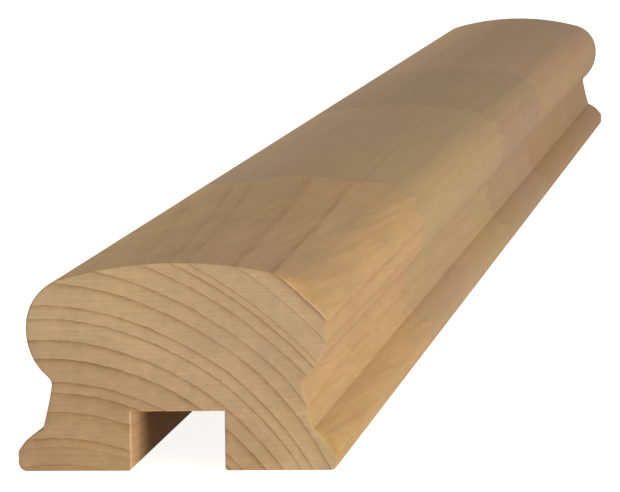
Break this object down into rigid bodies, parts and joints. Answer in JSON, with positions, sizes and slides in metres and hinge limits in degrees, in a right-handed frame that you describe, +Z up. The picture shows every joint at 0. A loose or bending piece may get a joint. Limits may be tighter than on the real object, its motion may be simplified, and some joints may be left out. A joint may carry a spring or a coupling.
{
  "type": "stair handrail",
  "caption": "Straight timber stair handrail length with a crowned, waisted grip, flared feet and a square groove along the underside for balusters; it lies flat on its feet.",
  "frame": {"origin": "middle of the rail's base, at half its length and half its width, in the plane its feet stand on", "axes": "+Y along the rail from the near end (in front in the picture) to the far end, +Z up from the feet to the crown, +X to the right as seen from the near end"},
  "size_m": [0.0648, 1.2, 0.042],
  "materials": {
    "pine": "planed, unfinished"
  },
  "bodies": {
    "root": {"rail_block_1": "pine", "rail_block_2": "pine", "rail_block_3": "pine", "rail_block_4": "pine"}
  },
  "joints": []
}
